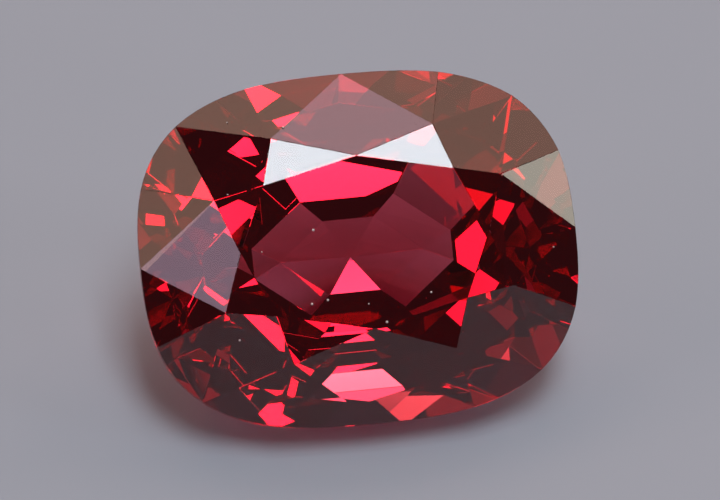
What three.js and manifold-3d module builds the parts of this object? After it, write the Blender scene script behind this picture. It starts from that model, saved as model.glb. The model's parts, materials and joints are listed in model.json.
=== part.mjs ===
import * as THREE from "three";
import { mergeVertices } from "three/addons/utils/BufferGeometryUtils.js";
import Module from "manifold-3d";

// A red spinel cut as a cushion: a brilliant crown over a stepped pavilion, in millimetres.
// While it is cut, the stone has its own axes: X along its length, Y across its width and Z up
// through the table, with the top of the girdle at Z = 0. Then it is tipped onto the pavilion
// facet that it lies on.

// Girdle outline: a superellipse, squarer than an ellipse and rounder than a rectangle
const LENGTH = 11;
const WIDTH = 8.83;
const SQUARENESS = 2.81;
const GIRDLE_THICKNESS = 0.33;

// Crown: the corners of one quarter, which the other three mirror
const CROWN_HEIGHT = 1.52;
const TABLE_HALF_WIDTH = 2.16;
const TABLE_HALF_LENGTH = 3.1;
const TABLE_CORNER = { x: 2.38, y: 1.62 };
const SIDE_STAR_TIP = { x: 2.03, y: 2.82 };
const END_STAR_TIP_X = 3.59;
const CORNER_MAIN_FOOT = 39.1;
const SIDE_SPLIT = 59.9;
const END_SPLIT = 20.6;

// The girdle's curve is cut as flat sides, and a corner between two of them lies at every meet.
const GIRDLE_MEETS = [0, END_SPLIT, CORNER_MAIN_FOOT, SIDE_SPLIT, 90];
const SIDES_PER_MEET = 6;

// Pavilion: four tiers of steps down to the culet point. Their step lines run level round the
// stone, SIDE_STEPS from its middle on the long sides. The last tier of the ends and corners has
// the slope that brings it to the culet, and the first tier's facets come in pairs, a fan apart.
const REST_SLOPE = 43.83;
const SIDE_STEPS = [2.65, 1.45, 0.94];
const TIERS = {
  side: { azimuth: 90, slopes: [54.9, REST_SLOPE, 40.65, 32.1], fan: 6.2 },
  end: { azimuth: 0, slopes: [52.9, 47.7, 31.5], fan: 6.1 },
  corner: { azimuth: 51.8, slopes: [49.9, 40, 30.8], fan: 1.1 },
};

const HALF_LENGTH = LENGTH / 2;
const HALF_WIDTH = WIDTH / 2;
const BLANK_DEPTH = 8;
const BLOCK = 40;

const wasm = await Module();
wasm.setup();

// The girdle outline's point in the direction of an angle given in degrees.
function outlinePoint(angle) {
  const c = Math.cos(THREE.MathUtils.degToRad(angle));
  const s = Math.sin(THREE.MathUtils.degToRad(angle));
  const sum = Math.abs(c / HALF_LENGTH) ** SQUARENESS + Math.abs(s / HALF_WIDTH) ** SQUARENESS;
  const reach = sum ** (-1 / SQUARENESS);
  return new THREE.Vector2(reach * c, reach * s);
}

// How far the outline reaches from the centre in one direction, measured square to that direction:
// for |x/a|^n + |y/b|^n = 1 it is the dual norm, with the power n / (n - 1).
function outlineReach(azimuth) {
  const c = Math.abs(Math.cos(THREE.MathUtils.degToRad(azimuth)));
  const s = Math.abs(Math.sin(THREE.MathUtils.degToRad(azimuth)));
  const dual = SQUARENESS / (SQUARENESS - 1);
  return ((HALF_LENGTH * c) ** dual + (HALF_WIDTH * s) ** dual) ** (1 / dual);
}

// A closed three.js geometry as a manifold-3d solid.
function solidOf(geometry) {
  geometry.deleteAttribute("normal");
  geometry.deleteAttribute("uv");
  const merged = mergeVertices(geometry);
  const vertProperties = merged.attributes.position.array;
  const triVerts = new Uint32Array(merged.index.array);
  return new wasm.Manifold(new wasm.Mesh({ numProp: 3, vertProperties, triVerts }));
}

// A manifold-3d solid as a flat-shaded three.js geometry.
function geometryOf(solid) {
  const { vertProperties, triVerts } = solid.getMesh();
  const geometry = new THREE.BufferGeometry();
  geometry.setAttribute("position", new THREE.BufferAttribute(vertProperties, 3));
  geometry.setIndex(new THREE.BufferAttribute(triVerts, 1));
  const flat = geometry.toNonIndexed();
  flat.computeVertexNormals();
  return flat;
}

// Grinds one facet: takes away all that lies outside a plane.
function grind(stone, plane) {
  const block = new THREE.BoxGeometry(BLOCK, BLOCK, BLOCK);
  block.translate(0, 0, BLOCK / 2);
  const turn = new THREE.Quaternion();
  turn.setFromUnitVectors(new THREE.Vector3(0, 0, 1), plane.normal);
  block.applyQuaternion(turn);
  const foot = plane.normal.clone().multiplyScalar(-plane.constant);
  block.translate(foot.x, foot.y, foot.z);
  return stone.subtract(solidOf(block));
}

// The plane through three corners of a crown facet, facing out of the stone.
function crownPlane(p, q, r) {
  const plane = new THREE.Plane().setFromCoplanarPoints(p, q, r);
  return plane.normal.z > 0 ? plane : plane.negate();
}

// A pavilion plane facing an azimuth and down, through the point at that reach and height.
function pavilionPlane(azimuth, slope, reach, height) {
  const turn = THREE.MathUtils.degToRad(azimuth);
  const tip = THREE.MathUtils.degToRad(slope);
  const across = new THREE.Vector3(Math.cos(turn), Math.sin(turn), 0);
  const normal = across.clone().multiplyScalar(Math.sin(tip)).setZ(-Math.cos(tip));
  const point = across.multiplyScalar(reach).setZ(height);
  return new THREE.Plane().setFromNormalAndCoplanarPoint(normal, point);
}

// The angles of the outline's corners in one quarter, without the last.
function quarterAngles() {
  const angles = [];
  for (let i = 1; i < GIRDLE_MEETS.length; i++) {
    const start = GIRDLE_MEETS[i - 1];
    const side = (GIRDLE_MEETS[i] - start) / SIDES_PER_MEET;
    for (let j = 0; j < SIDES_PER_MEET; j++) angles.push(start + j * side);
  }
  return angles;
}

// The blank: the outline's prism, from the table down past the culet.
function cutBlank() {
  const quarter = quarterAngles();
  const half = [...quarter, 90, ...quarter.slice(1).reverse().map((angle) => 180 - angle)];
  const round = [...half, ...half.map((angle) => angle + 180)];
  const outline = new THREE.Shape(round.map(outlinePoint));
  const depth = BLANK_DEPTH + CROWN_HEIGHT;
  const prism = new THREE.ExtrudeGeometry(outline, { depth, bevelEnabled: false });
  prism.translate(0, 0, -BLANK_DEPTH);
  return solidOf(prism);
}

// The crown: 8 mains, 8 stars and 16 upper girdle facets round the table. Every main passes
// through a table corner and a foot on the girdle, and neighbouring mains meet at the star tips.
function cutCrown(stone) {
  const onGirdle = (angle) => new THREE.Vector3(...outlinePoint(angle), 0);
  const sideTable = new THREE.Vector3(0, TABLE_HALF_WIDTH, CROWN_HEIGHT);
  const endTable = new THREE.Vector3(TABLE_HALF_LENGTH, 0, CROWN_HEIGHT);
  const cornerTable = new THREE.Vector3(TABLE_CORNER.x, TABLE_CORNER.y, CROWN_HEIGHT);
  const sideFall = CROWN_HEIGHT / (HALF_WIDTH - TABLE_HALF_WIDTH);
  const sideTipHeight = sideFall * (HALF_WIDTH - SIDE_STAR_TIP.y);
  const sideTip = new THREE.Vector3(SIDE_STAR_TIP.x, SIDE_STAR_TIP.y, sideTipHeight);
  const cornerFoot = onGirdle(CORNER_MAIN_FOOT);
  const cornerMain = crownPlane(cornerTable, cornerFoot, sideTip);
  const endFall = CROWN_HEIGHT / (HALF_LENGTH - TABLE_HALF_LENGTH);
  const endTip = new THREE.Vector3(END_STAR_TIP_X, 0, endFall * (HALF_LENGTH - END_STAR_TIP_X));
  endTip.y = -(cornerMain.distanceToPoint(endTip)) / cornerMain.normal.y;
  const quarter = [
    [sideTable, sideTip, sideTip.clone().setX(-sideTip.x)],
    [endTable, endTip, endTip.clone().setY(-endTip.y)],
    [cornerTable, cornerFoot, sideTip],
    [sideTable, cornerTable, sideTip],
    [cornerTable, endTable, endTip],
    [sideTip, onGirdle(90), onGirdle(SIDE_SPLIT)],
    [sideTip, cornerFoot, onGirdle(SIDE_SPLIT)],
    [endTip, cornerFoot, onGirdle(END_SPLIT)],
    [endTip, onGirdle(0), onGirdle(END_SPLIT)],
  ];
  for (const turned of [1, -1]) {
    for (const flipped of [1, -1]) {
      const mirror = new THREE.Vector3(turned, flipped, 1);
      for (const corners of quarter) {
        const [p, q, r] = corners.map((corner) => corner.clone().multiply(mirror));
        stone = grind(stone, crownPlane(p, q, r));
      }
    }
  }
  return stone;
}

// The pavilion: each tier starts where the one above it ends, on a step line that is level all
// round, so the profile of the long sides sets the heights for the ends and the corners.
function cutPavilion(stone) {
  const fall = (slope) => Math.tan(THREE.MathUtils.degToRad(slope));
  const widths = [HALF_WIDTH, ...SIDE_STEPS, 0];
  const heights = [-GIRDLE_THICKNESS];
  TIERS.side.slopes.forEach((slope, i) => {
    heights.push(heights[i] - fall(slope) * (widths[i] - widths[i + 1]));
  });
  const [culet, lastStep] = heights.slice().reverse();
  for (const [name, { azimuth, slopes, fan }] of Object.entries(TIERS)) {
    const facing = [azimuth, 180 - azimuth, 180 + azimuth, 360 - azimuth];
    for (const side of name === "corner" ? facing : [azimuth, azimuth + 180]) {
      for (const spread of [-fan, fan]) {
        const reach = outlineReach(side + spread);
        stone = grind(stone, pavilionPlane(side + spread, slopes[0], reach, heights[0]));
      }
      let reach = outlineReach(side) - (heights[0] - heights[1]) / fall(slopes[0]);
      for (let i = 1; i < SIDE_STEPS.length; i++) {
        stone = grind(stone, pavilionPlane(side, slopes[i], reach, heights[i]));
        reach -= (heights[i] - heights[i + 1]) / fall(slopes[i]);
      }
      const lastSlope = THREE.MathUtils.radToDeg(Math.atan2(lastStep - culet, reach));
      stone = grind(stone, pavilionPlane(side, lastSlope, 0, culet));
    }
  }
  return stone;
}

const cutStone = cutPavilion(cutCrown(cutBlank()));

// Polished red spinel, clear and deep crimson
const redSpinel = new THREE.MeshStandardMaterial({
  color: 0x9a0f2f,
  roughness: 0.04,
  metalness: 0,
  transparent: true,
  opacity: 0.8,
});

const spinel = new THREE.Mesh(geometryOf(cutStone), redSpinel);
spinel.name = "spinel";

// It lies on the middle facet of its near side, with its lowest face at Z = 0 and the middle of
// its box over the origin.
spinel.rotation.x = THREE.MathUtils.degToRad(REST_SLOPE);
const box = new THREE.Box3().setFromObject(spinel, true);
const middle = box.getCenter(new THREE.Vector3());
spinel.position.set(-middle.x, -middle.y, -box.min.z);

const gem = new THREE.Group();
gem.add(spinel);
export default gem;
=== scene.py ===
import json
import math

import bmesh
import bpy
import numpy as np
from mathutils import Matrix, Vector


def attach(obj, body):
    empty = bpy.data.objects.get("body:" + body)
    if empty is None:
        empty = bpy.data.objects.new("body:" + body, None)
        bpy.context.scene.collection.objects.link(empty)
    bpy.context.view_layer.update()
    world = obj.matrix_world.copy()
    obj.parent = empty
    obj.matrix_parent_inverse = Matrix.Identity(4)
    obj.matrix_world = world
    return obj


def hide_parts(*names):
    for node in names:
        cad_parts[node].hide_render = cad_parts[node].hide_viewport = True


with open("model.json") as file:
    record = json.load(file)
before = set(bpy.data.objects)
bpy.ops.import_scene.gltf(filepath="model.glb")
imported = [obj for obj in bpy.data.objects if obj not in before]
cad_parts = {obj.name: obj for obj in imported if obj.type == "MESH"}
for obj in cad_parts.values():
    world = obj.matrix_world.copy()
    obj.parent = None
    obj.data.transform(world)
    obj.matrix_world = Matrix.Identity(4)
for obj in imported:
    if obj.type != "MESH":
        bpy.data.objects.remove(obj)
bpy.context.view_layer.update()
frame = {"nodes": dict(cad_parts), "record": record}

# Camera. The stone is seen from above its front, a little off square to the table, through a
# long lens from 110 mm away.
MM = 0.001
mounts = {mount["name"]: mount for mount in frame["record"]["mounts"]}
table_middle = Vector(mounts["table"]["pos_m"])
table_normal = Vector(mounts["table"]["axis"])
CROWN_HEIGHT = 1.52 * MM
girdle_middle = table_middle - table_normal * CROWN_HEIGHT
CAMERA_AZIMUTH = math.radians(-8.37)
CAMERA_ELEVATION = math.radians(40.64)
CAMERA_DISTANCE = 110 * MM
IMAGE_WIDTH = 720
PIXELS_PER_MM = 39.97
SENSOR_WIDTH = 36
GIRDLE_MIDDLE_RIGHT_PX = -0.75
GIRDLE_MIDDLE_UP_PX = 2.06
NEAREST_SEEN = 0.01
FARTHEST_SEEN = 20

back = Vector((
    math.sin(CAMERA_AZIMUTH) * math.cos(CAMERA_ELEVATION),
    -math.cos(CAMERA_AZIMUTH) * math.cos(CAMERA_ELEVATION),
    math.sin(CAMERA_ELEVATION),
))
right = Vector((0, 0, 1)).cross(back).normalized()
up = back.cross(right)
pixel = MM / PIXELS_PER_MM
aim = girdle_middle - right * GIRDLE_MIDDLE_RIGHT_PX * pixel - up * GIRDLE_MIDDLE_UP_PX * pixel
camera_data = bpy.data.cameras.new("camera")
camera_data.sensor_width = SENSOR_WIDTH
camera_data.lens = PIXELS_PER_MM / MM * CAMERA_DISTANCE * SENSOR_WIDTH / IMAGE_WIDTH
camera_data.clip_start = NEAREST_SEEN
camera_data.clip_end = FARTHEST_SEEN
camera = bpy.data.objects.new("camera", camera_data)
turn = Matrix((right, up, back)).transposed().to_4x4()
camera.matrix_world = Matrix.Translation(aim + back * CAMERA_DISTANCE) @ turn
bpy.context.scene.collection.objects.link(camera)
bpy.context.scene.camera = camera

# Floor. A plain pale matte board. The stone touches its grain at points only, so that a thin film
# of air stays under the facet that it lies on.
FLOOR_SIZE = 4.0
AIR_FILM = 0.02 * MM
FLOOR_COLOUR = (0.40, 0.45, 0.50, 1)
FLOOR_ROUGHNESS = 0.9
floor_mesh = bpy.data.meshes.new("floor")
half = FLOOR_SIZE / 2
floor_mesh.from_pydata(
    [(x * half, y * half, -AIR_FILM) for x, y in ((-1, -1), (1, -1), (1, 1), (-1, 1))], [],
    [(0, 1, 2, 3)],
)
floor = bpy.data.objects.new("floor", floor_mesh)
bpy.context.scene.collection.objects.link(floor)
floor_paint = bpy.data.materials.new("pale_board")
floor_paint.use_nodes = True
floor_shader = floor_paint.node_tree.nodes["Principled BSDF"]
floor_shader.inputs["Base Color"].default_value = FLOOR_COLOUR
floor_shader.inputs["Roughness"].default_value = FLOOR_ROUGHNESS
floor_mesh.materials.append(floor_paint)

# Light. Soft panels far enough off to look the same from every part of the stone, in a dim room.
# Each facet mirrors one of them, or shows one that the light reaches through the stone.
LIGHT_DISTANCE = 0.6
DAYLIGHT = (0.88, 0.93, 1.0)
STRAW = (0.88, 0.84, 0.68)
CREAM = (0.95, 0.92, 0.78)
WARM = (1.0, 0.6, 0.46)
WINDOW = (1.0, 0.88, 0.95)
MAUVE = (1.0, 0.66, 0.95)
ROSE = (1.0, 0.64, 0.94)
LAVENDER = (1.0, 0.72, 0.95)
ROOM_COLOUR = (0.9, 0.85, 1.0, 1)
ROOM_STRENGTH = 0.04
BOUNCES = 32


def soft_panel(name, out, width, height, radiance, tint):
    """A rectangular lamp in the direction out that faces the stone, its sides given in metres.
    Its power is the radiance times pi times its area."""
    data = bpy.data.lights.new(name, "AREA")
    data.shape = "RECTANGLE"
    data.size = width
    data.size_y = height
    data.color = tint
    data.energy = radiance * math.pi * width * height
    lamp = bpy.data.objects.new(name, data)
    lamp.location = girdle_middle + out * LIGHT_DISTANCE
    lamp.rotation_euler = out.to_track_quat("Z", "Y").to_euler()
    lamp.visible_camera = False
    bpy.context.scene.collection.objects.link(lamp)
    return lamp


def wall_panel(name, azimuth, elevation, width, height, radiance, tint):
    """A panel at the side, its direction in degrees. Azimuth 0 is away from the front and 90 to
    the right."""
    a, e = math.radians(azimuth), math.radians(elevation)
    out = Vector((math.sin(a) * math.cos(e), math.cos(a) * math.cos(e), math.sin(e)))
    return soft_panel(name, out, width, height, radiance, tint)


def ceiling_panel(name, x, y, width, depth, radiance, tint):
    """A level panel overhead, its middle x metres to the right and y metres to the back."""
    out = Vector((x / LIGHT_DISTANCE, y / LIGHT_DISTANCE, 1))
    soft_panel(name, out, width, depth, radiance, tint).rotation_euler = (0, 0, 0)


# Overhead, for the two white stars and the bright shapes seen through the table
ceiling_panel("front_ceiling", 0.078, -0.185, 0.18, 0.346, 9.5, DAYLIGHT)
ceiling_panel("cross_strip", 0.069, 0.0645, 0.258, 0.033, 12.0, DAYLIGHT)
ceiling_panel("rear_square", 0.068, 0.183, 0.05, 0.036, 9.5, STRAW)
# Behind and to the sides, for the dim veils on the far crown facets
wall_panel("back_upper_panel", -4, 53, 0.5, 0.23, 1.9, WARM)
wall_panel("back_bright_panel", 12, 60.5, 0.15, 0.07, 1.6, MAUVE)
wall_panel("back_card", 4, 3, 0.64, 0.17, 1.7, ROSE)
wall_panel("right_back_panel", 57, 40, 0.3, 0.28, 1.7, WARM)
wall_panel("right_card", 88.5, 15.5, 0.094, 0.115, 4.0, CREAM)
wall_panel("left_panel", -92, 26, 0.29, 0.14, 1.8, WARM)
wall_panel("left_card", -108, 24, 0.1, 0.1, 2.3, LAVENDER)
wall_panel("left_spot", -127, 18, 0.05, 0.05, 3.5, LAVENDER)
wall_panel("left_back_panel", -70, 42, 0.15, 0.12, 1.8, WARM)
# In front, for the small bright patches at the two ends
wall_panel("right_window", 112, 25.5, 0.13, 0.075, 7.5, WINDOW)
wall_panel("front_window", 140, 21.5, 0.095, 0.063, 4.5, WINDOW)
wall_panel("front_spot", 163.4, 50, 0.032, 0.052, 7.5, WINDOW)

world = bpy.data.worlds.new("room")
world.use_nodes = True
world.node_tree.nodes["Background"].inputs["Color"].default_value = ROOM_COLOUR
world.node_tree.nodes["Background"].inputs["Strength"].default_value = ROOM_STRENGTH
bpy.context.scene.world = world
bpy.context.scene.view_settings.view_transform = "Standard"
bpy.context.scene.cycles.max_bounces = BOUNCES
bpy.context.scene.cycles.glossy_bounces = BOUNCES
bpy.context.scene.cycles.transmission_bounces = BOUNCES

# Spinel. One clear crimson crystal, ground flat facet by facet and polished. The lap leaves every
# edge a little under a hundredth of a millimetre round, and the girdle keeps its fine satin grind.
# It is shaded flat, since the frame's mesh brings shading normals that don't fit the round edges.
EDGE_ROUNDING = 0.008 * MM
EDGE_SEGMENTS = 2
EDGE_PROFILE = 0.5
MERGE_DISTANCE = 0.002 * MM
FLAT_WITHIN = math.radians(0.3)
GIRDLE_LEAN = 0.06
GIRDLE_ROUGHNESS = 0.22
CLEAR = (1, 1, 1, 1)
SPINEL_IOR = 1.718
CRIMSON = (0.91, 0.06, 0.26, 1)
COLOUR_DENSITY = 400

facets = bmesh.new()
facets.from_mesh(frame["nodes"]["spinel"].data)
bmesh.ops.remove_doubles(facets, verts=facets.verts, dist=MERGE_DISTANCE)
bmesh.ops.dissolve_limit(
    facets, angle_limit=FLAT_WITHIN, verts=facets.verts, edges=facets.edges
)
bmesh.ops.bevel(
    facets, geom=facets.edges, offset=EDGE_ROUNDING, segments=EDGE_SEGMENTS,
    profile=EDGE_PROFILE, affect="EDGES",
)
stone_mesh = bpy.data.meshes.new("cut_spinel")
facets.to_mesh(stone_mesh)
facets.free()
stone_mesh.shade_flat()
normals = np.empty(len(stone_mesh.polygons) * 3)
stone_mesh.polygons.foreach_get("normal", normals)
along_table = np.abs(normals.reshape(-1, 3) @ np.array(table_normal))
girdle = stone_mesh.attributes.new("girdle", "FLOAT", "FACE")
girdle.data.foreach_set("value", (along_table < GIRDLE_LEAN).astype(float))
stone = bpy.data.objects.new("cut_spinel", stone_mesh)
bpy.context.scene.collection.objects.link(stone)

red_spinel = bpy.data.materials.new("red_spinel")
red_spinel.use_nodes = True
nodes, links = red_spinel.node_tree.nodes, red_spinel.node_tree.links
polish = nodes["Principled BSDF"]
polish.inputs["Base Color"].default_value = CLEAR
polish.inputs["IOR"].default_value = SPINEL_IOR
polish.inputs["Transmission Weight"].default_value = 1.0
girdle_band = nodes.new("ShaderNodeAttribute")
girdle_band.attribute_name = "girdle"
satin = nodes.new("ShaderNodeMath")
satin.operation = "MULTIPLY"
satin.inputs[1].default_value = GIRDLE_ROUGHNESS
links.new(girdle_band.outputs["Fac"], satin.inputs[0])
links.new(satin.outputs["Value"], polish.inputs["Roughness"])
colour = nodes.new("ShaderNodeVolumeAbsorption")
colour.inputs["Color"].default_value = CRIMSON
colour.inputs["Density"].default_value = COLOUR_DENSITY
links.new(colour.outputs["Volume"], nodes["Material Output"].inputs["Volume"])
stone_mesh.materials.append(red_spinel)
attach(stone, "root")
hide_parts("spinel")

# Dust. Pale mineral grains about a twentieth of a millimetre across, each a lumpy ball. They lie
# loose on the crown. Their places are in millimetres along and across the stone, from its middle.
GRAIN_PLACES = (
    (-3.01, 3.39), (-1.68, 3.08), (-3.25, 1.5), (-2.58, -0.01), (-1.26, 0.41), (4.81, -0.48),
    (1.49, -1.4), (-0.08, -1.54), (-1.08, -1.35), (-1.48, -1.41), (0.32, -2.03), (-3.3, -2.08),
)
GRAIN_RADIUS = 0.025 * MM
SMALLEST, LARGEST = 0.6, 1.3
GRAIN_SINK = 0.3
GRAIN_TURNS = 10
GRAIN_RINGS = 6
LUMP_HEIGHT = 0.22
LUMPS_AROUND = 3
LUMPS_DOWN = 2
DUST_SEED = 11
DUST_COLOUR = (0.75, 0.7, 0.66, 1)
DUST_ROUGHNESS = 0.95


def grain_points(radius, phase):
    """A lumpy ball: from pole to pole and round, its reach is the radius times one plus the lump
    height times a sine round the ball times a sine down it. The points of its rings come first,
    and then the two poles."""
    down = np.linspace(0, np.pi, GRAIN_RINGS + 2)[1:-1, None]
    around = np.linspace(0, 2 * np.pi, GRAIN_TURNS, endpoint=False)[None, :]
    waves = np.sin(LUMPS_AROUND * around + phase), np.sin(LUMPS_DOWN * down + phase)
    reach = radius * (1 + LUMP_HEIGHT * waves[0] * waves[1])
    rings = np.stack((
        reach * np.sin(down) * np.cos(around),
        reach * np.sin(down) * np.sin(around),
        reach * np.cos(down),
    ), axis=-1).reshape(-1, 3)
    return np.vstack((rings, [(0, 0, radius), (0, 0, -radius)]))


def grain_faces():
    """The quads between neighbouring rings and the triangles to the poles, all facing out."""
    ring = np.arange(GRAIN_RINGS - 1)[:, None] * GRAIN_TURNS
    here = np.arange(GRAIN_TURNS)[None, :]
    after = (here + 1) % GRAIN_TURNS
    quads = np.stack(
        (ring + here, ring + GRAIN_TURNS + here, ring + GRAIN_TURNS + after, ring + after), axis=-1
    ).reshape(-1, 4)
    last = (GRAIN_RINGS - 1) * GRAIN_TURNS
    top = np.full(GRAIN_TURNS, GRAIN_RINGS * GRAIN_TURNS)
    caps = np.vstack((
        np.stack((here[0], after[0], top), axis=-1),
        np.stack((last + after[0], last + here[0], top + 1), axis=-1),
    ))
    return quads, caps


bpy.context.view_layer.update()
chance = np.random.default_rng(DUST_SEED)
across_stone = table_normal.cross(Vector((1, 0, 0)))
quads, caps = grain_faces()
points, faces = [], []
for along, across in GRAIN_PLACES:
    above = girdle_middle + Vector((along * MM, 0, 0)) + across_stone * across * MM
    start = above + table_normal * 2 * CROWN_HEIGHT
    _, foot, outward, _ = stone.ray_cast(start, -table_normal)
    radius = GRAIN_RADIUS * chance.uniform(SMALLEST, LARGEST)
    middle = np.array(foot + outward * radius * (1 - GRAIN_SINK))
    shift = len(points) * (GRAIN_RINGS * GRAIN_TURNS + 2)
    points.append(grain_points(radius, chance.uniform(0, 2 * math.pi)) + middle)
    faces += (quads + shift).tolist() + (caps + shift).tolist()
dust_mesh = bpy.data.meshes.new("dust_grains")
dust_mesh.from_pydata(np.vstack(points).tolist(), [], faces)
dust = bpy.data.objects.new("dust_grains", dust_mesh)
bpy.context.scene.collection.objects.link(dust)
pale_dust = bpy.data.materials.new("pale_dust")
pale_dust.use_nodes = True
powder = pale_dust.node_tree.nodes["Principled BSDF"]
powder.inputs["Base Color"].default_value = DUST_COLOUR
powder.inputs["Roughness"].default_value = DUST_ROUGHNESS
dust_mesh.materials.append(pale_dust)
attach(dust, "root")
